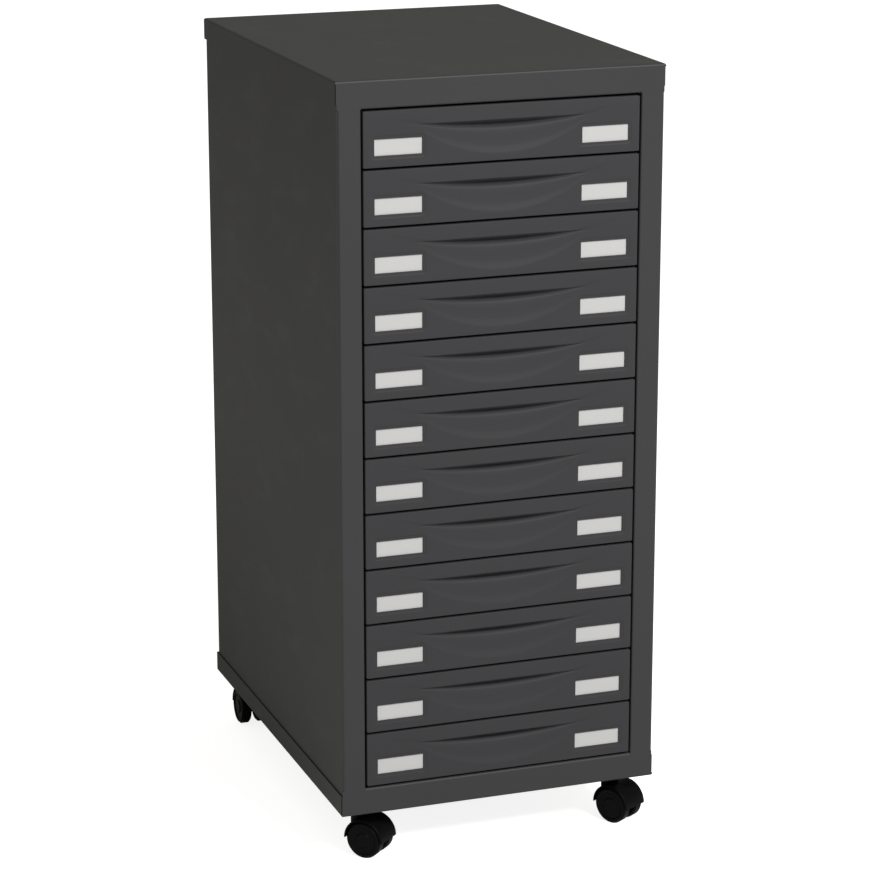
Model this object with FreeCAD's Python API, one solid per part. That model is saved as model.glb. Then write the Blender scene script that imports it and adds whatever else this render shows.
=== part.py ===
"""Steel drawer cabinet on four twin-wheel casters, twelve sheet-metal drawers.

Millimetres, +Z up, +X to the right of someone facing the drawers, the drawer
fronts face -Y. The origin is on the floor under the middle of the footprint.
"""
import math
import os

import FreeCAD
import Part

V = FreeCAD.Vector

# ---------------------------------------------------------------- overall size
WIDTH = 280.0            # over the side flanges of the caps
DEPTH = 380.0            # front plane to the back of the caps
CASTER_H = 46.0          # floor to the underside of the base
BODY_H = 614.0           # underside of the base to the top
Z_BASE = CASTER_H
Z_TOP = CASTER_H + BODY_H
Y_FRONT = -DEPTH / 2
Y_BACK = DEPTH / 2

# -------------------------------------------------------------------- carcass
CAP_T = 1.2              # sheet of the two caps
SHEET_T = 1.0            # sheet of the sides, back and racks
CAP_FLANGE = 18.5        # side and back flanges of the caps
CAP_CHAMFER_Z = 14.7     # where the end of a front flange starts to taper in
CAP_BEND_R = 2.0
CAP_RETURN = 11.0        # inward edge of a front flange along the opening
SEAM = 0.3               # open corner seam between two flanges
SEAM_RELIEF = 0.7        # the front flange stops this short of the side
RAIL_H = 23.1            # front flange of each cap, above and below the drawers
STILE_W = 19.8           # front return of a side panel
STILE_RETURN = 14.0
SIDE_BEND_R = 2.5
BACK_RETURN = 16.8
SIDE_X = WIDTH / 2 - CAP_T          # outer face of a side panel
OPEN_X = SIDE_X - STILE_W           # half width of the drawer opening

# -------------------------------------------------------------------- drawers
DRAWERS = 12
OPEN_Z0 = Z_BASE + RAIL_H
STACK_GAP = 0.8          # extra clearance above and below the whole stack
CELL_Z0 = OPEN_Z0 + STACK_GAP
PITCH = (BODY_H - 2 * RAIL_H - 2 * STACK_GAP) / DRAWERS
FRONT_GAP = 1.0          # half the gap between two fronts
FRONT_SIDE_GAP = 1.5     # front to stile
FRONT_T = 1.0
FRONT_DEEP = 16.0        # depth of the folded edges of a front
FRONT_X = OPEN_X - FRONT_SIDE_GAP
FRONT_CORNER_R = 1.2
FRONT_EDGE_R = 0.7

# finger pull: a lens-shaped dish under a straight lip
LIP_DROP = 13.0          # lip below the top of the drawer's cell
PULL_X = 76.0            # half length of the lip
PULL_H = 26.4            # dish height in the middle
PULL_DEEP = 12.0
PULL_PAD_X = 79.0        # half width of the plate that is pressed in
PULL_PAD_H = 28.0
PULL_R = (PULL_X ** 2 + PULL_H ** 2) / (2 * PULL_H)
# share of the dish depth, from the lip (0) to the outline (1)
PULL_STEPS = [(0.0, 1.0), (0.06, 0.94), (0.12, 0.76), (0.18, 0.58), (0.25, 0.45),
              (0.34, 0.38), (0.45, 0.34), (0.58, 0.305), (0.70, 0.26), (0.80, 0.18),
              (0.90, 0.06), (1.0, 0.0)]
PULL_TAPER = 1.15        # how fast the dish gets shallow towards its two ends

# label windows
LABEL_X = 88.0           # window centre from the middle of the front
LABEL_Z = 17.0           # window centre above the bottom of the cell
WINDOW = (40.0, 13.2, 0.5)      # width, height, corner radius
RECESS = (46.4, 19.6, 3.0, 0.8)  # width, height, corner radius, depth
CARD = (43.6, 17.0, 0.4)        # width, height, thickness

# trays
TRAY_T = 0.8
TRAY_X = 111.0
TRAY_Z0, TRAY_Z1 = 4.0, 40.0    # floor and rim above the bottom of the cell
TRAY_DEEP = 360.0               # front plane to the back of the tray
TRAY_LIP = 5.5

# runner racks
LEDGE_X = 113.0
LEDGE_T = 1.0
LEDGE_LOW, LEDGE_HIGH = 37.95, 40.3   # undersides above the bottom of the cell
RACK_Y0, RACK_Y1 = -175.5, 186.8
LEDGE_Y0, LEDGE_Y1 = -172.0, 180.0

# -------------------------------------------------------------------- casters
STEM_X, STEM_Y = 114.0, 158.0
PLATE = (36.0, 2.0, 4.0)        # side, thickness, corner radius
PIN_R, PIN_END = 4.0, 33.2
BOSS_R, BOSS_TOP = 7.5, CASTER_H - PLATE[1] - 0.4
TRAIL = 10.0                    # wheel axle behind the swivel axis
WHEEL_R, WHEEL_W, WHEEL_IN = 16.0, 9.5, 3.6
AXLE_R = 2.0
FIT = 0.05                      # running fit on a radius
HOOD_R, HOOD_IN, WEB = 18.2, 16.8, 3.2
# direction of each wheel axle in plan, degrees from +X
CASTERS = {"front_left": (-1, -1, 42.0), "front_right": (1, -1, 30.0),
           "back_left": (-1, 1, 180.0), "back_right": (1, 1, 190.0)}


def box(x0, x1, y0, y1, z0, z1):
    return Part.makeBox(x1 - x0, y1 - y0, z1 - z0, V(x0, y0, z0))


def fuse(shapes):
    solid = shapes[0].fuse(shapes[1:]) if len(shapes) > 1 else shapes[0]
    return solid.removeSplitter()


def round_edges(solid, radius, wanted):
    """Round the edges whose two ends both pass the test."""
    edges = [e for e in solid.Edges
             if len(e.Vertexes) == 2 and all(wanted(v.Point) for v in e.Vertexes)]
    return solid.makeFillet(radius, edges)


def along(solid, axis, radius, wanted=lambda p: True):
    """Round the straight edges along one axis whose ends both pass the test."""
    def runs(edge):
        a, b = edge.Vertexes[0].Point, edge.Vertexes[-1].Point
        step = [abs(b.x - a.x), abs(b.y - a.y), abs(b.z - a.z)]
        return step[axis] > 1e-6 and sum(step) - step[axis] < 1e-6 and wanted(a) and wanted(b)
    return solid.makeFillet(radius, [e for e in solid.Edges
                                     if len(e.Vertexes) == 2 and runs(e)])


def plate(width, height, thick, radius, centre):
    """Upright plate in the plane of a drawer front, corners rounded."""
    x, y, z = centre
    solid = box(x - width / 2, x + width / 2, y, y + thick, z - height / 2, z + height / 2)
    return along(solid, 1, radius)


def mirrored(solid):
    return solid.mirror(V(0, 0, 0), V(1, 0, 0))


def save(name, shape):
    """One node: a solid, or a group of identical solids."""
    solids = shape if isinstance(shape, list) else [shape]
    for solid in solids:
        assert solid.isValid() and len(solid.Solids) == 1, name
    shape = Part.makeCompound(solids) if len(solids) > 1 else solids[0]
    shape.exportStep(f"parts/{name}.step")
    box_ = shape.BoundBox
    print(f"{name:28s} {shape.Volume:12.1f} mm3  x {box_.XMin:8.2f} {box_.XMax:8.2f}"
          f"  y {box_.YMin:8.2f} {box_.YMax:8.2f}  z {box_.ZMin:8.2f} {box_.ZMax:8.2f}")


# ------------------------------------------------------------------- carcass
def top_cap():
    """Folded lid: a panel with a deep front flange and shallow side flanges."""
    half = WIDTH / 2
    low = Z_TOP - RAIL_H
    outer = box(-half, half, Y_FRONT, Y_BACK, low, Z_TOP)
    outer = round_edges(outer, CAP_BEND_R, lambda p: p.z > Z_TOP - 0.01)
    inner = box(-half + CAP_T, half - CAP_T, Y_FRONT + CAP_T, Y_BACK - CAP_T,
                low - 1, Z_TOP - CAP_T)
    inner = round_edges(inner, CAP_BEND_R - CAP_T, lambda p: p.z > Z_TOP - CAP_T - 0.01)
    lid = outer.cut(inner)
    lid = lid.cut(box(-half - 1, half + 1, Y_FRONT + CAP_T, Y_BACK + 1,
                      low - 1, Z_TOP - CAP_FLANGE))
    cuts = []
    for side in (-1, 1):
        taper = [V(side * half, Y_FRONT - 1, Z_TOP - CAP_CHAMFER_Z),
                 V(side * SIDE_X, Y_FRONT - 1, Z_TOP - CAP_FLANGE),
                 V(side * SIDE_X, Y_FRONT - 1, low - 1),
                 V(side * (half + 1), Y_FRONT - 1, low - 1),
                 V(side * (half + 1), Y_FRONT - 1, Z_TOP - CAP_CHAMFER_Z)]
        face = Part.Face(Part.makePolygon(taper + [taper[0]]))
        cuts.append(face.extrude(V(0, 1 + CAP_T, 0)))
        for inner, y0, y1 in ((half - SEAM_RELIEF, Y_FRONT - 1, Y_FRONT + CAP_T),
                              (SIDE_X, Y_FRONT + CAP_T, Y_FRONT + CAP_T + SEAM),
                              (SIDE_X, Y_BACK - CAP_T - SEAM, Y_BACK - CAP_T)):
            x0, x1 = sorted((side * inner, side * (half + 1)))
            cuts.append(box(x0, x1, y0, y1, low - 1, Z_TOP - CAP_BEND_R - 0.5))
    lid = lid.cut(Part.makeCompound(cuts))
    lid = lid.cut(box(-OPEN_X, OPEN_X, Y_FRONT - 1, Y_FRONT + CAP_T, low - 1, low + CAP_BEND_R))
    return fuse([lid, rolled_edge(low)])


def rolled_edge(low):
    """The front flange turned inwards along the drawer opening."""
    y, r, t = Y_FRONT, CAP_BEND_R, CAP_T
    turn = math.sqrt(0.5)
    hub = V(-OPEN_X, y + r, low + r)
    outer = Part.Arc(V(-OPEN_X, y, low + r), hub + V(0, -r * turn, -r * turn),
                     V(-OPEN_X, y + r, low))
    inner = Part.Arc(V(-OPEN_X, y + r, low + t), hub + V(0, -(r - t) * turn, -(r - t) * turn),
                     V(-OPEN_X, y + t, low + r))
    back = y + CAP_RETURN
    edges = [outer.toShape(),
             Part.makeLine(V(-OPEN_X, y + r, low), V(-OPEN_X, back, low)),
             Part.makeLine(V(-OPEN_X, back, low), V(-OPEN_X, back, low + t)),
             Part.makeLine(V(-OPEN_X, back, low + t), V(-OPEN_X, y + r, low + t)),
             inner.toShape(),
             Part.makeLine(V(-OPEN_X, y + t, low + r), V(-OPEN_X, y, low + r))]
    return Part.Face(Part.Wire(edges)).extrude(V(2 * OPEN_X, 0, 0))


def side_panel():
    """Left side: web, front stile with its return, rear return."""
    z0, z1 = Z_BASE + CAP_BEND_R, Z_TOP - CAP_BEND_R
    s0, s1 = OPEN_Z0, Z_TOP - RAIL_H
    back = Y_BACK - CAP_T
    web = box(-SIDE_X, -SIDE_X + SHEET_T, Y_FRONT + CAP_T, back, z0, z1)
    rear = box(-SIDE_X, -SIDE_X + BACK_RETURN, back - SHEET_T, back, z0, z1)
    rear = fuse([web, rear])
    rear = round_edges(rear, 2.0, lambda p: abs(p.x + SIDE_X) < 0.01 and abs(p.y - back) < 0.01)
    post = box(-SIDE_X, -OPEN_X, Y_FRONT, Y_FRONT + STILE_RETURN, s0, s1)
    post = round_edges(post, SIDE_BEND_R,
                       lambda p: abs(p.x + SIDE_X) < 0.01 and abs(p.y - Y_FRONT) < 0.01)
    post = round_edges(post, 1.5,
                       lambda p: abs(p.x + OPEN_X) < 0.01 and abs(p.y - Y_FRONT) < 0.01)
    core = box(-SIDE_X + SHEET_T, -OPEN_X - SHEET_T, Y_FRONT + SHEET_T,
               Y_FRONT + STILE_RETURN + 1, s0 - 1, s1 + 1)
    core = round_edges(core, SIDE_BEND_R - SHEET_T,
                       lambda p: p.x < -SIDE_X + SHEET_T + 0.01 and p.y < Y_FRONT + SHEET_T + 0.01)
    return fuse([rear, post.cut(core)])


def back_panel():
    """Rear sheet between the side panels, with two pressed stiffening beads."""
    x = SIDE_X - SHEET_T
    z0, z1 = Z_BASE + CAP_T, Z_TOP - CAP_T
    y = Y_BACK - CAP_T - 2 * SHEET_T
    solids = [box(-x, x, y, y + SHEET_T, z0, z1)]
    hollow = []
    for bead in (-58.0, 58.0):
        solids.append(box(bead - 7, bead + 7, y + SHEET_T, y + SHEET_T + 0.8, z0 + 45, z1 - 45))
        hollow.append(box(bead - 6, bead + 6, y - 1, y + 0.9, z0 + 46, z1 - 46))
    return fuse(solids).cut(Part.makeCompound(hollow))


def runner_rack():
    """Left liner: a channel fixed to the side panel, two ledges per drawer."""
    z0, z1 = Z_BASE + CAP_T, Z_TOP - CAP_T
    wall = -SIDE_X + SHEET_T
    solids = [box(-OPEN_X - SHEET_T, -OPEN_X, RACK_Y0, RACK_Y1, z0, z1),
              box(wall, -OPEN_X, RACK_Y0, RACK_Y0 + SHEET_T, z0, z1),
              box(wall, -OPEN_X, RACK_Y1 - SHEET_T, RACK_Y1, z0, z1)]
    for cell in range(DRAWERS):
        for low in (LEDGE_LOW, LEDGE_HIGH):
            z = CELL_Z0 + cell * PITCH + low
            solids.append(box(-OPEN_X, -LEDGE_X, LEDGE_Y0, LEDGE_Y1, z, z + LEDGE_T))
    return fuse(solids)


# ------------------------------------------------------------------- drawers
def pull_depth(x, s):
    """Depth of the finger pull s below its lip, x from the middle."""
    reach = math.sqrt(max(PULL_R ** 2 - x ** 2, 0.0)) - (PULL_R - PULL_H)
    if reach <= 0 or s >= reach:
        return 0.0
    t = s / reach
    for (t0, g0), (t1, g1) in zip(PULL_STEPS, PULL_STEPS[1:]):
        if t <= t1:
            share = g0 + (g1 - g0) * (t - t0) / (t1 - t0)
            break
    return PULL_DEEP * share * (reach / PULL_H) ** PULL_TAPER


def clamped(count):
    """Multiplicities and knots of a cubic spline through both end poles."""
    spans = count - 3
    return [4] + [1] * (spans - 1) + [4], [i / spans for i in range(spans + 1)]


def drawer_front():
    """Pressed front: folded edges, finger pull, two recessed label windows."""
    top = PITCH - FRONT_GAP
    shell = box(-FRONT_X, FRONT_X, 0, FRONT_DEEP, FRONT_GAP, top)
    shell = along(shell, 1, FRONT_CORNER_R)
    rim = [e for e in shell.Edges if all(abs(v.Point.y) < 0.01 for v in e.Vertexes)]
    shell = shell.makeFillet(FRONT_EDGE_R, rim)
    inner = box(-FRONT_X + FRONT_T, FRONT_X - FRONT_T, FRONT_T, FRONT_DEEP + 1,
                FRONT_GAP + FRONT_T, top - FRONT_T)
    shell = shell.cut(along(inner, 1, FRONT_CORNER_R - FRONT_T))

    lip = PITCH - LIP_DROP
    shell = shell.cut(box(-PULL_PAD_X, PULL_PAD_X, -1, FRONT_T + 0.5, lip - PULL_PAD_H, lip))
    xs = [-PULL_PAD_X + PULL_PAD_X * i / 18 for i in range(37)]
    drops = [PULL_PAD_H * i / 20 for i in range(21)]
    poles = [[V(x, pull_depth(x, s), lip - s) for s in drops] for x in xs]
    skin = Part.BSplineSurface()
    (u_mults, u_knots), (v_mults, v_knots) = clamped(len(xs)), clamped(len(drops))
    skin.buildFromPolesMultsKnots(poles, u_mults, v_mults, u_knots, v_knots,
                                  False, False, 3, 3)
    dish = skin.toShape().extrude(V(0, FRONT_T, 0))

    crest = Part.BSplineCurve()
    crest.buildFromPolesMultsKnots([row[0] + V(0, FRONT_T, 0) for row in poles],
                                   u_mults, u_knots, False, 3)
    ends = [V(-PULL_PAD_X, FRONT_T, lip), V(-PULL_PAD_X, 0, lip),
            V(PULL_PAD_X, 0, lip), V(PULL_PAD_X, FRONT_T, lip)]
    edges = [Part.makeLine(a, b) for a, b in zip(ends, ends[1:])] + [crest.toShape()]
    roof = Part.Face(Part.Wire(Part.__sortEdges__(edges))).extrude(V(0, 0, FRONT_T))

    width, height, radius, deep = RECESS
    pads = [plate(width + 1, height + 1, deep, radius, (side * LABEL_X, FRONT_T, LABEL_Z))
            for side in (-1, 1)]
    front = shell.fuse([dish, roof] + pads)
    for side in (-1, 1):
        front = front.cut(plate(width, height, deep + 1, radius, (side * LABEL_X, -1, LABEL_Z)))
        front = front.cut(plate(WINDOW[0], WINDOW[1], 4, WINDOW[2], (side * LABEL_X, -1, LABEL_Z)))
    return front.removeSplitter()


def drawer_tray():
    """Open tray, its backing plate inside the front, a lip along each side."""
    top = PITCH - FRONT_GAP - FRONT_T
    backing = box(-FRONT_X + FRONT_T, FRONT_X - FRONT_T, FRONT_DEEP - 1.0, FRONT_DEEP,
                  FRONT_GAP + FRONT_T, top)
    backing = along(backing, 1, FRONT_CORNER_R - FRONT_T)
    outer = box(-TRAY_X, TRAY_X, FRONT_DEEP, TRAY_DEEP, TRAY_Z0, TRAY_Z1)
    outer = along(outer, 1, 1.6, lambda p: p.z < TRAY_Z0 + 0.01)
    inner = box(-TRAY_X + TRAY_T, TRAY_X - TRAY_T, FRONT_DEEP, TRAY_DEEP - TRAY_T,
                TRAY_Z0 + TRAY_T, TRAY_Z1 + 1)
    inner = along(inner, 1, 0.8, lambda p: p.z < TRAY_Z0 + TRAY_T + 0.01)
    lips = []
    for side in (-1, 1):
        x0, x1 = sorted((side * (TRAY_X - TRAY_T), side * (TRAY_X + TRAY_LIP)))
        lips.append(box(x0, x1, FRONT_DEEP + 2, TRAY_DEEP - 2, TRAY_Z1 - TRAY_T, TRAY_Z1))
    return fuse([outer.cut(inner), backing] + lips)


def label_cards():
    """Two cards held flat against the back of the windows."""
    width, height, thick = CARD
    return [plate(width, height, thick, 1.0, (side * LABEL_X, FRONT_T + RECESS[3], LABEL_Z))
            for side in (-1, 1)]


# ------------------------------------------------------------------- casters
def disc(radius, w0, w1, z=WHEEL_R):
    """Cylinder about the wheel axle, from w0 to w1 along it."""
    return Part.makeCylinder(radius, w1 - w0, V(w0, -TRAIL, z), V(1, 0, 0))


def caster_plate():
    """Mounting plate with the fixed swivel pin, swivel axis at x = y = 0."""
    side, thick, radius = PLATE
    top = Part.makeBox(side, side, thick, V(-side / 2, -side / 2, CASTER_H - thick))
    top = along(top, 2, radius)
    pin = Part.makeCylinder(PIN_R, CASTER_H - thick - PIN_END, V(0, 0, PIN_END))
    collar = Part.makeCylinder(6.0, 0.3, V(0, 0, BOSS_TOP + 0.1))
    return fuse([top, pin, collar])


def caster_housing():
    """Hood over both wheels, centre web and swivel boss; trails towards -Y."""
    width = WHEEL_IN + WHEEL_W
    hood = disc(HOOD_R, -width, width)
    rims = [e for e in hood.Edges if isinstance(e.Curve, Part.Circle)]
    hood = hood.makeFillet(1.0, rims)
    boss = Part.makeCylinder(BOSS_R, BOSS_TOP - WHEEL_R, V(0, 0, WHEEL_R))
    collar = Part.makeCylinder(BOSS_R + 0.9, 2.2, V(0, 0, BOSS_TOP - 5.4))
    body = hood.fuse([boss, collar]).removeSplitter()
    for side in (-1, 1):
        w0, w1 = sorted((side * WEB, side * (width + 5)))
        body = body.cut(disc(HOOD_IN, w0, w1))
    lower = Part.makeBox(60, 80, 40, V(-30, -TRAIL - 40, WHEEL_R - 40))
    below = lower.cut(disc(6.5, -WEB, WEB))
    body = body.cut(below)
    body = body.cut(disc(AXLE_R, -30, 30))
    body = body.cut(Part.makeCylinder(PIN_R + FIT, 40, V(0, 0, PIN_END - 0.3)))
    return body.removeSplitter()


def caster_axle():
    return disc(AXLE_R, -WHEEL_IN - WHEEL_W + 1.2, WHEEL_IN + WHEEL_W - 1.2)


def caster_wheel(side):
    """Wheel with a rounded tyre, a dished face and a hub cap over the axle."""
    a, b = WHEEL_IN, WHEEL_IN + WHEEL_W
    half = [(AXLE_R + FIT, a), (6.2, a), (6.2, a + 0.8), (WHEEL_R - 3, a + 0.8),
            (WHEEL_R - 3, a), (WHEEL_R - 1.6, a), (WHEEL_R, a + 1.6), (WHEEL_R, b - 1.8),
            (WHEEL_R - 1.8, b), (WHEEL_R - 3.2, b), (WHEEL_R - 4.4, b - 1.0), (6.8, b - 1.0),
            (5.8, b), (0, b), (0, b - 1.0), (AXLE_R + FIT, b - 1.0)]
    ring = [V(w, -TRAIL + r, WHEEL_R) for r, w in half]
    face = Part.Face(Part.makePolygon(ring + [ring[0]]))
    wheel = face.revolve(V(0, -TRAIL, WHEEL_R), V(1, 0, 0), 360)
    return wheel if side > 0 else mirrored(wheel)


def placed(solid, x, y, turn):
    moved = solid.copy()
    moved.rotate(V(0, 0, 0), V(0, 0, 1), turn)
    moved.translate(V(x, y, 0))
    return moved


# ---------------------------------------------------------------------- build
os.makedirs("parts", exist_ok=True)

lid = top_cap()
save("top_cap", lid)
save("base_cap", lid.mirror(V(0, 0, (Z_BASE + Z_TOP) / 2), V(0, 0, 1)))
panel = side_panel()
save("left_side_panel", panel)
save("right_side_panel", mirrored(panel))
save("back_panel", back_panel())
rack = runner_rack()
save("left_runner_rack", rack)
save("right_runner_rack", mirrored(rack))

front, tray, cards = drawer_front(), drawer_tray(), label_cards()
for number in range(1, DRAWERS + 1):
    shift = V(0, Y_FRONT, CELL_Z0 + (DRAWERS - number) * PITCH)
    save(f"drawer_{number:02d}_front", front.translated(shift))
    save(f"drawer_{number:02d}_tray", tray.translated(shift))
    save(f"drawer_{number:02d}_labels", [card.translated(shift) for card in cards])

housing, axle, seat = caster_housing(), caster_axle(), caster_plate()
seats = []
for name, (sx, sy, turn) in CASTERS.items():
    x, y = sx * STEM_X, sy * STEM_Y
    save(f"caster_{name}_housing", placed(housing, x, y, turn))
    save(f"caster_{name}_axle", placed(axle, x, y, turn))
    save(f"caster_{name}_wheel_a", placed(caster_wheel(-1), x, y, turn))
    save(f"caster_{name}_wheel_b", placed(caster_wheel(1), x, y, turn))
    seats.append(placed(seat, x, y, 0))
save("caster_plates", seats)
print("overall", WIDTH, DEPTH, Z_TOP)
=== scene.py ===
# %% [markdown]
# # A steel drawer cabinet on casters
# The cabinet is a folded and welded steel carcass with twelve flat drawers,
# each with a pressed finger pull and two label windows, on four small
# twin-wheel casters. The CAD model is loaded first as a fixed frame, so every
# piece that follows is placed from its numbers and rides on its bodies.

# %% Load the frame
import math

import bmesh
import bpy
from mathutils import Matrix, Vector


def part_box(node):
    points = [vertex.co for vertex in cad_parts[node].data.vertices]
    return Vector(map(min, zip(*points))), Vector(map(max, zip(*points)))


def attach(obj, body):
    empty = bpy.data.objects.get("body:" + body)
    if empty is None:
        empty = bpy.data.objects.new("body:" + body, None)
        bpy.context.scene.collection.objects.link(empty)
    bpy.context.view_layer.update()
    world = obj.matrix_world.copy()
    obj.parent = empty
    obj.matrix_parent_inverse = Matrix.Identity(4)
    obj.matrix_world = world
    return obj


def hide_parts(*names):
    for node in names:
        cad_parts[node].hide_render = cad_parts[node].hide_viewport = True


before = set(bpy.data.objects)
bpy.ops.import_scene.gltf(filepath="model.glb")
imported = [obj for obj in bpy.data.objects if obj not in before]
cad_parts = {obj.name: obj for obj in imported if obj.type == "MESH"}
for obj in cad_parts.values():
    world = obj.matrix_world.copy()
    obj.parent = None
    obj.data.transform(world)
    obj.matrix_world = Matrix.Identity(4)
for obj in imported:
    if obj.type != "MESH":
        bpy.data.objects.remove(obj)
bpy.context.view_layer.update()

# %% [markdown]
# ## Measures
# A maker works from a cutting list. These are the sizes of the drawer fronts
# and cards, written in millimetres and turned into metres once, in `mm`,
# because Blender's unit is the metre. They are the CAD model's, except for the
# finger pull and the recess round a label: there the CAD model has a deeper
# pocket behind a sharp lip, and here the press is shallow and soft.

# %% Measures of the fronts and cards
def mm(*values):
    """Millimetres to metres, as one number or a vector."""
    return values[0] / 1000 if len(values) == 1 else Vector(values) / 1000


FRONT_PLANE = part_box("drawer_01_front")[0][1]
DRAWERS = 12
PITCH = 47.1833                     # from one drawer to the next
CELL_BOTTOM = 69.9                  # underside of the lowest drawer's cell
FRONT_WIDTH, FRONT_GAP = 235.0, 1.0
FRONT_LOW, FRONT_HIGH = FRONT_GAP, PITCH - FRONT_GAP
FRONT_DEEP = 16.0                   # depth of the folded edges
FRONT_CORNER, FRONT_FOLD = 1.2, 0.7  # radius of the corners and of the folds
LIP_HEIGHT = PITCH - 13.0           # the straight lip, above the cell's bottom
PULL_HALF, PULL_DROP, PULL_DEEP = 76.0, 28.4, 7.2
PULL_RADIUS = (PULL_HALF ** 2 + PULL_DROP ** 2) / (2 * PULL_DROP)
PULL_TAPER = 1.5                    # how fast the dish gets shallow to its ends
LABEL_X, LABEL_Z = 88.0, 17.0       # centre of a label window
WINDOW_WIDTH, WINDOW_HEIGHT, WINDOW_CORNER, WINDOW_DEEP = 40.0, 13.2, 0.5, 1.4
RECESS_WIDTH, RECESS_HEIGHT, RECESS_CORNER = 46.4, 19.6, 3.0
CARD_WIDTH, CARD_HEIGHT, CARD_CORNER = 43.4, 16.8, 1.0
CRISP_EDGE = math.radians(32)       # a sharper fold than this stays sharp


def drawer_name(number):
    return f"drawer_{number:02d}"


def cell_bottom(number):
    """Height of the underside of a drawer's cell, in metres."""
    return mm(CELL_BOTTOM + (DRAWERS - number) * PITCH)


print("front plane at", round(FRONT_PLANE, 4), "m, top cell at", round(cell_bottom(1), 4), "m")

# %% [markdown]
# ## Shader tools
# Powder coat, nylon, card and bare steel all need an uneven surface. Each
# effect is a node group with its own inputs, so one group serves several
# materials and a change in it shows everywhere. A group only hands out
# numbers: the shader that turns them into a surface stays in the material.

# %% A small helper for node trees
class Wires:
    """Adds nodes to one tree and joins them by socket name."""

    def __init__(self, tree):
        self.tree = tree

    def add(self, kind, **settings):
        node = self.tree.nodes.new(kind)
        for key, value in settings.items():
            if key in node.inputs:
                node.inputs[key].default_value = value
            else:
                setattr(node, key, value)
        return node

    def join(self, a, out, b, into):
        self.tree.links.new(a.outputs[out], b.inputs[into])


def effect(name, inputs, outputs):
    """An empty node group with named number inputs and outputs."""
    group = bpy.data.node_groups.new(name, "ShaderNodeTree")
    for label, start in inputs.items():
        socket = group.interface.new_socket(label, in_out="INPUT", socket_type="NodeSocketFloat")
        socket.default_value = start
    for label, kind in outputs.items():
        group.interface.new_socket(label, in_out="OUTPUT", socket_type=kind)
    return group, Wires(group)


print("node helper ready")

# %% [markdown]
# ### Cured powder
# Powder paint melts and levels in an oven, and never gets quite flat: a slow
# swell like orange peel, with a fine grain on it. Two noises give that as a
# height for the bump, and a third, much larger one gives the faint cloudiness
# in gloss and tone that a big sprayed panel has. Image textures could do it
# too, but they need unwrapped faces; these noises need only the position.

# %% The cured powder group
powder_group, w = effect("cured_powder",
                         {"Peel Size": 900.0, "Grain Size": 4200.0, "Grain Share": 0.35,
                          "Cloud Size": 9.0},
                         {"Height": "NodeSocketFloat", "Cloud": "NodeSocketFloat"})
ins, outs = w.add("NodeGroupInput"), w.add("NodeGroupOutput")
where = w.add("ShaderNodeTexCoord")
peel = w.add("ShaderNodeTexNoise", Detail=1.5, Roughness=0.5)
grain = w.add("ShaderNodeTexNoise", Detail=2.0, Roughness=0.6)
cloud = w.add("ShaderNodeTexNoise", Detail=3.0, Roughness=0.55)
for noise, size in ((peel, "Peel Size"), (grain, "Grain Size"), (cloud, "Cloud Size")):
    w.join(where, "Object", noise, "Vector")
    w.join(ins, size, noise, "Scale")
fine = w.add("ShaderNodeMath", operation="MULTIPLY")
w.join(grain, "Fac", fine, 0)
w.join(ins, "Grain Share", fine, 1)
both = w.add("ShaderNodeMath", operation="ADD")
w.join(peel, "Fac", both, 0)
w.join(fine, "Value", both, 1)
w.join(both, "Value", outs, "Height")
w.join(cloud, "Fac", outs, "Cloud")
print("group", powder_group.name, "nodes", len(powder_group.nodes))

# %% [markdown]
# ### Handling marks
# Where hands and dust meet a satin surface the gloss changes a little, in
# soft smears that run more across than up. A stretched noise, cut to a soft
# mask, is enough; the same group puts scuffs on the nylon casters.

# %% The handling marks group
marks_group, w = effect("handling_marks",
                        {"Size": 14.0, "Stretch": 2.5, "Amount": 0.5},
                        {"Mask": "NodeSocketFloat"})
ins, outs = w.add("NodeGroupInput"), w.add("NodeGroupOutput")
where = w.add("ShaderNodeTexCoord")
scale = w.add("ShaderNodeCombineXYZ", X=1.0, Y=1.0)
w.join(ins, "Stretch", scale, "Z")
spread = w.add("ShaderNodeVectorMath", operation="MULTIPLY")
w.join(where, "Object", spread, 0)
w.join(scale, "Vector", spread, 1)
smear = w.add("ShaderNodeTexNoise", Detail=4.0, Roughness=0.62, Distortion=0.4)
w.join(spread, "Vector", smear, "Vector")
w.join(ins, "Size", smear, "Scale")
soft = w.add("ShaderNodeMapRange", interpolation_type="SMOOTHSTEP")
soft.inputs["From Min"].default_value, soft.inputs["From Max"].default_value = 0.48, 0.72
w.join(smear, "Fac", soft, "Value")
w.join(ins, "Amount", soft, "To Max")
w.join(soft, "Result", outs, "Mask")
print("group", marks_group.name, "nodes", len(marks_group.nodes))

# %% [markdown]
# ### Drawn streaks
# Zinc-plated runners and plain steel axles carry fine lines from rolling and
# turning. A noise squeezed hard along two axes makes streaks along the third.

# %% The drawn streaks group
streak_group, w = effect("drawn_streaks",
                         {"Across": 900.0, "Along": 14.0},
                         {"Height": "NodeSocketFloat", "Tone": "NodeSocketFloat"})
ins, outs = w.add("NodeGroupInput"), w.add("NodeGroupOutput")
where = w.add("ShaderNodeTexCoord")
scale = w.add("ShaderNodeCombineXYZ")
for axis, size in (("X", "Across"), ("Y", "Along"), ("Z", "Across")):
    w.join(ins, size, scale, axis)
spread = w.add("ShaderNodeVectorMath", operation="MULTIPLY")
w.join(where, "Object", spread, 0)
w.join(scale, "Vector", spread, 1)
lines = w.add("ShaderNodeTexNoise", Scale=1.0, Detail=3.0, Roughness=0.6)
w.join(spread, "Vector", lines, "Vector")
w.join(lines, "Fac", outs, "Height")
w.join(lines, "Fac", outs, "Tone")
print("group", streak_group.name, "nodes", len(streak_group.nodes))


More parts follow.
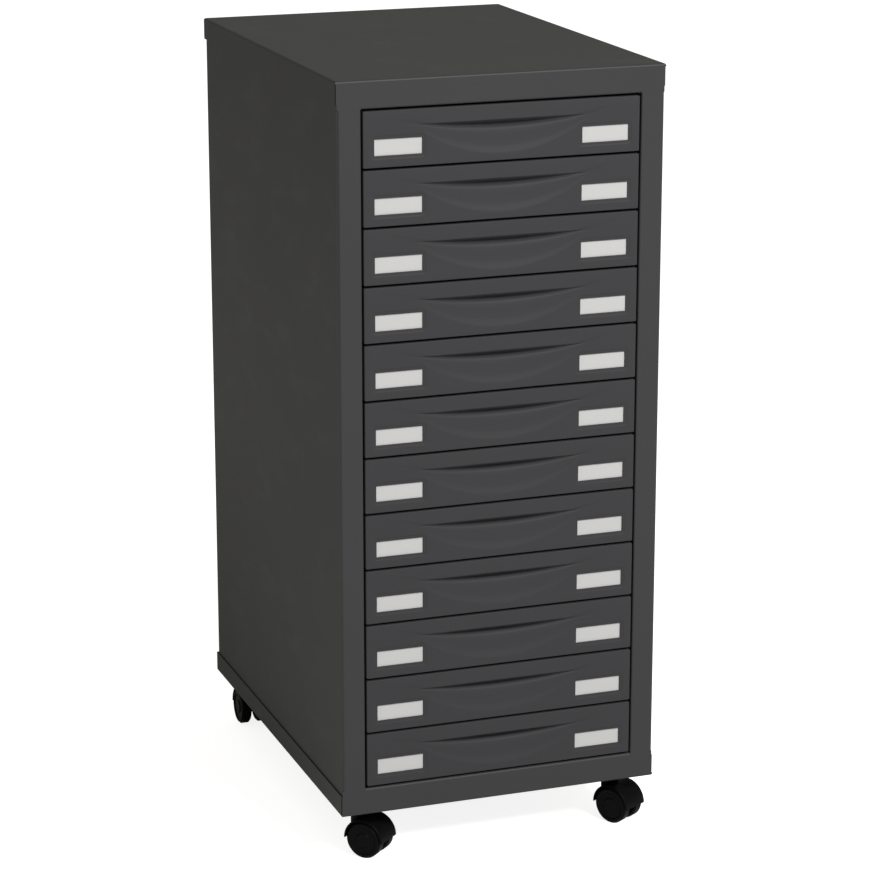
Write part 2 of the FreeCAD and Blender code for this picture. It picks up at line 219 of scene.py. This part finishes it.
# %% [markdown]
# ## Materials
# Each finish is one Principled shader. Numbers that are the same all over,
# such as specular level or metallic, are typed straight on the shader; only what
# changes over the surface comes in by wire.

# %% A material with its shader ready
def finish(name):
    """A new material, its wires and its Principled shader."""
    material = bpy.data.materials.new(name)
    material.use_nodes = True
    wires = Wires(material.node_tree)
    return material, wires, material.node_tree.nodes["Principled BSDF"]


def between(wires, source, out, low, high):
    """Maps a 0 to 1 signal to a range, for roughness and the like."""
    node = wires.add("ShaderNodeMapRange")
    node.inputs["To Min"].default_value, node.inputs["To Max"].default_value = low, high
    wires.join(source, out, node, "Value")
    return node


def blend_colours(wires, source, out, dark, light):
    node = wires.add("ShaderNodeMix", data_type="RGBA")
    node.inputs["A"].default_value, node.inputs["B"].default_value = (*dark, 1), (*light, 1)
    wires.tree.links.new(source.outputs[out], node.inputs[0])
    return node


def colour_of(node):
    """The colour output of a Mix node, which has one per data type."""
    return [s for s in node.outputs if s.type == "RGBA"][0]


print("material helper ready")

# %% [markdown]
# ### Powder coat
# The carcass and the drawers are sprayed in the same dark grey, but in
# separate batches: the drawer fronts lean a little to violet, the carcass a
# little to green. So one function makes both, with its two tones as inputs.

# %% Powder coat for carcass and drawers
def powder_coat(name, dark, light, rough, shine):
    material, w, shader = finish(name)
    powder = w.add("ShaderNodeGroup", node_tree=powder_group)
    marks = w.add("ShaderNodeGroup", node_tree=marks_group)
    marks.inputs["Amount"].default_value = 0.6
    tone = blend_colours(w, powder, "Cloud", dark, light)
    w.tree.links.new(colour_of(tone), shader.inputs["Base Color"])
    gloss = between(w, powder, "Cloud", rough - 0.03, rough + 0.03)
    worn = w.add("ShaderNodeMath", operation="MULTIPLY_ADD")
    w.join(marks, "Mask", worn, 0)
    worn.inputs[1].default_value = -0.06
    w.join(gloss, "Result", worn, 2)
    w.join(worn, "Value", shader, "Roughness")
    bump = w.add("ShaderNodeBump", Strength=0.22, Distance=0.00006)
    w.join(powder, "Height", bump, "Height")
    w.join(bump, "Normal", shader, "Normal")
    shader.inputs["Specular IOR Level"].default_value = shine
    return material


carcass_paint = powder_coat("carcass_powder_coat", (0.0383, 0.0402, 0.0400),
                            (0.0428, 0.0450, 0.0448), 0.50, 0.3)
drawer_paint = powder_coat("drawer_powder_coat", (0.0430, 0.0428, 0.0462),
                           (0.0475, 0.0475, 0.0512), 0.57, 0.17)
print("paints", carcass_paint.name, drawer_paint.name)

# %% [markdown]
# ### Card, zinc, axle steel and nylon
# Card is matt with short fibres. Runners and caster plates are zinc plated,
# bright but cloudy. The casters are moulded in black nylon: the hood has a
# fine spark-eroded texture, the wheels are smoother from rolling.

# %% Card, metals and nylon
def label_card():
    material, w, shader = finish("white_label_card")
    fibre = w.add("ShaderNodeGroup", node_tree=streak_group)
    fibre.inputs["Across"].default_value, fibre.inputs["Along"].default_value = 1400.0, 900.0
    tone = blend_colours(w, fibre, "Tone", (0.545, 0.545, 0.542), (0.615, 0.615, 0.61))
    w.tree.links.new(colour_of(tone), shader.inputs["Base Color"])
    rough = between(w, fibre, "Tone", 0.78, 0.92)
    w.join(rough, "Result", shader, "Roughness")
    bump = w.add("ShaderNodeBump", Strength=0.2, Distance=0.00005)
    w.join(fibre, "Height", bump, "Height")
    w.join(bump, "Normal", shader, "Normal")
    shader.inputs["Specular IOR Level"].default_value = 0.2
    return material


def bare_metal(name, dark, light, low, high, across):
    material, w, shader = finish(name)
    streaks = w.add("ShaderNodeGroup", node_tree=streak_group)
    streaks.inputs["Across"].default_value = across
    tone = blend_colours(w, streaks, "Tone", dark, light)
    w.tree.links.new(colour_of(tone), shader.inputs["Base Color"])
    rough = between(w, streaks, "Tone", low, high)
    w.join(rough, "Result", shader, "Roughness")
    bump = w.add("ShaderNodeBump", Strength=0.15, Distance=0.00004)
    w.join(streaks, "Height", bump, "Height")
    w.join(bump, "Normal", shader, "Normal")
    shader.inputs["Metallic"].default_value = 1.0
    return material


def nylon(name, colour, low, high, grain):
    material, w, shader = finish(name)
    moulded = w.add("ShaderNodeGroup", node_tree=powder_group)
    moulded.inputs["Peel Size"].default_value = 700.0
    moulded.inputs["Grain Size"].default_value = grain
    moulded.inputs["Grain Share"].default_value = 0.8
    marks = w.add("ShaderNodeGroup", node_tree=marks_group)
    marks.inputs["Size"].default_value = 60.0
    tone = blend_colours(w, marks, "Mask", colour, [c * 1.5 + 0.001 for c in colour])
    w.tree.links.new(colour_of(tone), shader.inputs["Base Color"])
    rough = between(w, marks, "Mask", low, high)
    w.join(rough, "Result", shader, "Roughness")
    bump = w.add("ShaderNodeBump", Strength=0.25, Distance=0.00006)
    w.join(moulded, "Height", bump, "Height")
    w.join(bump, "Normal", shader, "Normal")
    shader.inputs["Specular IOR Level"].default_value = 0.07
    return material


card = label_card()
zinc = bare_metal("zinc_plate", (0.46, 0.47, 0.48), (0.60, 0.61, 0.62), 0.30, 0.45, 500.0)
axle_steel = bare_metal("turned_axle_steel", (0.50, 0.50, 0.50), (0.64, 0.63, 0.62),
                        0.2, 0.34, 1200.0)
hood_nylon = nylon("hood_nylon", (0.0035, 0.0034, 0.0042), 0.42, 0.58, 3000.0)
wheel_nylon = nylon("wheel_nylon", (0.0040, 0.0040, 0.0048), 0.36, 0.55, 2200.0)
print("materials", sorted(m.name for m in bpy.data.materials if m.use_nodes))


# %% [markdown]
# ## Making pieces
# The fronts and the cards are built as a bmesh: rings of points that are
# bridged, and flat faces filled between them. The helpers here turn a bmesh
# into a mesh with soft shading that keeps its folds crisp, and hang it on a
# drawer of the frame.

# %% Rings, bridges and finished pieces
def rounded_ring(bm, centre, width, height, radius, depth, corner=6):
    """Ring of points round a rounded rectangle in the plane of a drawer front.
    All sizes in millimetres; depth is measured into the drawer."""
    cx, cz = centre
    ring = []
    for quarter, (sx, sz) in enumerate(((1, 1), (-1, 1), (-1, -1), (1, -1))):
        ax, az = cx + sx * (width / 2 - radius), cz + sz * (height / 2 - radius)
        for i in range(corner + 1):
            angle = math.pi / 2 * (quarter + i / corner)
            x, z = ax + radius * math.cos(angle), az + radius * math.sin(angle)
            ring.append(bm.verts.new(mm(x, depth, z)))
    return ring


def bridge(bm, rings, closed=True):
    """Faces between each ring and the next."""
    for low, high in zip(rings, rings[1:]):
        count = len(low)
        for i in range(count if closed else count - 1):
            j = (i + 1) % count
            corners = []
            for vert in (low[i], low[j], high[j], high[i]):
                if vert not in corners:
                    corners.append(vert)
            if len(corners) > 2:
                bm.faces.new(corners)


def rim_edges(bm, ring):
    """The edges round a closed ring, made where they don't exist yet."""
    return [bm.edges.get((a, b)) or bm.edges.new((a, b))
            for a, b in zip(ring, ring[1:] + ring[:1])]


def to_mesh(bm, name, material):
    """A mesh from the bmesh, with smooth faces between its crisp edges."""
    bmesh.ops.recalc_face_normals(bm, faces=bm.faces)
    for face in bm.faces:
        face.smooth = True
    for edge in bm.edges:
        edge.smooth = len(edge.link_faces) != 2 or edge.calc_face_angle(0) < CRISP_EDGE
    mesh = bpy.data.meshes.new(name)
    bm.to_mesh(mesh)
    bm.free()
    mesh.materials.append(material)
    return mesh


def hang_on_drawer(number, part, mesh, node):
    """The mesh, placed on one drawer, in place of that drawer's CAD node."""
    piece = bpy.data.objects.new(f"{drawer_name(number)}_{part}", mesh)
    bpy.context.scene.collection.objects.link(piece)
    piece.matrix_world = Matrix.Translation((0, FRONT_PLANE, cell_bottom(number)))
    bpy.context.view_layer.update()
    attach(piece, drawer_name(number))
    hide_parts(f"{drawer_name(number)}_{node}")


print("piece helpers ready")

# %% [markdown]
# ## Pressed drawer fronts
# A front is one sheet: the edges are folded back, and the middle is pressed in
# below a straight lip, which leaves a lens-shaped finger pull. Close under the
# lip the press is a narrow deep groove for the fingertips. Below that it is a
# shallow dish that fades out at an arc. Sculpting by hand would make twelve
# slightly different pulls, so the pull is a grid that follows a depth formula.

# %% The depth of the finger pull
PULL_PROFILE = [(0.0, 0.0), (0.03, 0.12), (0.07, 0.50), (0.11, 0.88), (0.14, 1.0),
                (0.17, 0.94), (0.21, 0.70), (0.25, 0.52), (0.30, 0.42), (0.40, 0.35),
                (0.60, 0.30), (0.75, 0.24), (0.88, 0.11), (0.96, 0.02), (1.0, 0.0)]


def eased(points, t):
    """Smooth curve through points that never overshoots between them."""
    slopes = [(b[1] - a[1]) / (b[0] - a[0]) for a, b in zip(points, points[1:])]
    lean = [slopes[0]] + [2 * p * q / (p + q) if p * q > 0 else 0.0
                          for p, q in zip(slopes, slopes[1:])] + [0.0]
    for i, ((x0, y0), (x1, y1)) in enumerate(zip(points, points[1:])):
        if t <= x1:
            h = x1 - x0
            u = (t - x0) / h
            return (y0 * (1 + 2 * u) * (1 - u) ** 2 + lean[i] * h * u * (1 - u) ** 2
                    + y1 * u * u * (3 - 2 * u) + lean[i + 1] * h * u * u * (u - 1))
    return points[-1][1]


def pull_reach(x):
    """How far the pull reaches below the lip at x."""
    return max(math.sqrt(PULL_RADIUS ** 2 - x * x) - (PULL_RADIUS - PULL_DROP), 0.0)


def pull_depth(x, t):
    return PULL_DEEP * eased(PULL_PROFILE, t) * (pull_reach(x) / PULL_DROP) ** PULL_TAPER


print("pull depth along the middle", [round(pull_depth(0, i / 8), 2) for i in range(9)])

# %% Build the pressed front
def pull_surface(bm):
    """Soft lip and dish of the finger pull; returns its outline."""
    columns, rows = 96, [i / 44 for i in range(45)]
    rings = []
    for i in range(columns + 1):
        x = PULL_HALF * math.sin(math.pi / 2 * (2 * i / columns - 1))
        reach = pull_reach(x)
        if reach < 1e-6:
            rings.append([bm.verts.new(mm(x, 0, LIP_HEIGHT))] * len(rows))
            continue
        rings.append([bm.verts.new(mm(x, pull_depth(x, t), LIP_HEIGHT - t * reach))
                      for t in rows])
    bridge(bm, rings, closed=False)
    top = [ring[0] for ring in rings]
    bottom = [ring[-1] for ring in rings]
    return top + bottom[-2:0:-1]


def label_window(bm, side):
    """Soft recess round a window, and the cut edge of the window."""
    centre = (side * LABEL_X, LABEL_Z)
    rings = []
    slope = ((0, 0), (0.3, 0.03), (0.6, 0.13), (0.9, 0.27), (1.2, 0.37), (1.5, 0.4))
    for inset, depth in slope:
        rings.append(rounded_ring(bm, centre, RECESS_WIDTH - 2 * inset,
                                  RECESS_HEIGHT - 2 * inset, RECESS_CORNER - inset * 0.6, depth))
    for inset, depth in ((-0.2, 0.4), (-0.06, 0.45), (0, 0.6), (0, WINDOW_DEEP)):
        rings.append(rounded_ring(bm, centre, WINDOW_WIDTH - 2 * inset,
                                  WINDOW_HEIGHT - 2 * inset, WINDOW_CORNER, depth))
    bridge(bm, rings)
    return rings[0]


def pressed_front():
    bm = bmesh.new()
    width, height = FRONT_WIDTH, FRONT_HIGH - FRONT_LOW
    middle = (0.0, (FRONT_HIGH + FRONT_LOW) / 2)
    fold = [(FRONT_FOLD * (1 - math.sin(a)), FRONT_FOLD * (1 - math.cos(a)))
            for a in (math.pi / 2 * i / 6 for i in range(7))]
    cut_edge = [(0.0, FRONT_DEEP - 0.3), (0.3, FRONT_DEEP), (1.0, FRONT_DEEP)]
    rings = [rounded_ring(bm, middle, width - 2 * inset, height - 2 * inset,
                          max(FRONT_CORNER - inset, 0.3), depth)
             for inset, depth in fold + cut_edge]
    bridge(bm, rings)
    borders = rim_edges(bm, rings[0]) + rim_edges(bm, pull_surface(bm))
    for side in (-1, 1):
        borders += rim_edges(bm, label_window(bm, side))
    bmesh.ops.triangle_fill(bm, use_beauty=True, edges=borders)
    return to_mesh(bm, "pressed_front", drawer_paint)


front_mesh = pressed_front()
for number in range(1, DRAWERS + 1):
    hang_on_drawer(number, "pressed_front", front_mesh, "front")
print("pressed front faces", len(front_mesh.polygons))

# %% [markdown]
# ## Label cards
# The cards are plain white stock, pushed in from behind and held flat against
# the window. The two of a drawer are one mesh, with slightly eased corners.

# %% Cards behind the windows
def card_pair():
    bm = bmesh.new()
    for side in (-1, 1):
        rings = [rounded_ring(bm, (side * LABEL_X, LABEL_Z), CARD_WIDTH - 2 * inset,
                              CARD_HEIGHT - 2 * inset, CARD_CORNER, WINDOW_DEEP + depth)
                 for inset, depth in ((0.05, 0), (0.0, 0.05), (0.0, 0.3), (0.05, 0.35))]
        bridge(bm, rings)
        bm.faces.new(rings[0])
        bm.faces.new(rings[-1])
    return to_mesh(bm, "card_pair", card)


card_mesh = card_pair()
for number in range(1, DRAWERS + 1):
    hang_on_drawer(number, "cards", card_mesh, "labels")
print("cards", 2 * DRAWERS)

# %% [markdown]
# ## Folded steel
# The carcass and the trays are right as the CAD model has them, bends
# included. They only need their paint, and normals that are smooth round a
# bend and crisp at a cut edge.

# %% Paint the carcass, trays and small metal
def dress(node, material):
    """Gives a CAD node its finish and its soft shading."""
    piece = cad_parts[node]
    piece.data.materials.clear()
    piece.data.materials.append(material)
    smooth = piece.modifiers.new("soft_shading", "WEIGHTED_NORMAL")
    smooth.keep_sharp = True


for node in ("top_cap", "base_cap", "left_side_panel", "right_side_panel", "back_panel"):
    dress(node, carcass_paint)
for node in ("left_runner_rack", "right_runner_rack", "caster_plates"):
    dress(node, zinc)
for number in range(1, DRAWERS + 1):
    dress(f"{drawer_name(number)}_tray", drawer_paint)
CASTERS = ("front_left", "front_right", "back_left", "back_right")
for corner in CASTERS:
    dress(f"caster_{corner}_housing", hood_nylon)
    dress(f"caster_{corner}_axle", axle_steel)
    for wheel in "ab":
        dress(f"caster_{corner}_wheel_{wheel}", wheel_nylon)
print("dressed CAD nodes", sum(1 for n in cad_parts.values() if n.modifiers))

# %% [markdown]
# ## Studio
# A pale floor and a white surround, as for a catalogue picture. One soft light
# stands in front, a little to the right and above the cabinet. The surround
# adds a low, slightly warm light, which is what the left side gets. Floor and
# surround look white to the camera and still throw little light of their own.

# %% Floor, lights and surround
def studio_floor():
    bm = bmesh.new()
    for x, y in ((-6, -6), (6, -6), (6, 8), (-6, 8)):
        bm.verts.new((x, y, 0.0))
    bm.faces.new(bm.verts)
    material, w, shader = finish("studio_floor")
    shader.inputs["Base Color"].default_value = (0.9, 0.9, 0.9, 1)
    shader.inputs["Roughness"].default_value = 0.9
    shader.inputs["Specular IOR Level"].default_value = 0.1
    shader.inputs["Emission Color"].default_value = (1, 1, 1, 1)
    ray = w.add("ShaderNodeLightPath")
    glow = between(w, ray, "Is Camera Ray", 0.0, 0.85)
    w.join(glow, "Result", shader, "Emission Strength")
    floor = bpy.data.objects.new("studio_floor", to_mesh(bm, "studio_floor", material))
    bpy.context.scene.collection.objects.link(floor)


def soft_light(name, place, aim, size, watts):
    data = bpy.data.lights.new(name, "AREA")
    data.shape, data.size, data.energy = "SQUARE", size, watts
    lamp = bpy.data.objects.new(name, data)
    lamp.location = place
    lamp.rotation_euler = (Vector(aim) - Vector(place)).to_track_quat("-Z", "Y").to_euler()
    bpy.context.scene.collection.objects.link(lamp)


studio_floor()
soft_light("key", place=(0.8, -2.8, 2.6), aim=(0, 0, 0.35), size=0.9, watts=100)
world = bpy.data.worlds.new("surround")
bpy.context.scene.world = world
world.use_nodes = True
w = Wires(world.node_tree)
sky = world.node_tree.nodes["Background"]
ray = w.add("ShaderNodeLightPath")
power = between(w, ray, "Is Camera Ray", 0.27, 1.0)
w.join(power, "Result", sky, "Strength")
warmth = blend_colours(w, ray, "Is Camera Ray", (1.0, 0.965, 0.89), (1.0, 1.0, 1.0))
w.tree.links.new(colour_of(warmth), sky.inputs["Color"])
bpy.context.scene.view_settings.view_transform = "Standard"

# %% [markdown]
# ## Camera
# The camera stands to the left of the cabinet and above it, with a long lens
# so that the upright edges stay nearly parallel.

# %% Camera
def aim_camera(place, yaw, pitch, lens):
    """Yaw turns from +Y towards +X, pitch is downwards, both in degrees."""
    yaw, pitch = math.radians(yaw), math.radians(pitch)
    look = Vector((math.sin(yaw) * math.cos(pitch), math.cos(yaw) * math.cos(pitch),
                   -math.sin(pitch)))
    data = bpy.data.cameras.new("camera")
    data.lens, data.sensor_width = lens, 36.0
    camera = bpy.data.objects.new("camera", data)
    turn = look.to_track_quat("-Z", "Y").to_matrix().to_4x4()
    camera.matrix_world = Matrix.Translation(place) @ turn
    bpy.context.scene.collection.objects.link(camera)
    bpy.context.scene.camera = camera


aim_camera(mm(-862.0, -2448.0, 1038.0), yaw=19.70, pitch=15.71, lens=125.8)
print("camera at", [round(v, 3) for v in bpy.context.scene.camera.location])

bpy.context.view_layer.update()
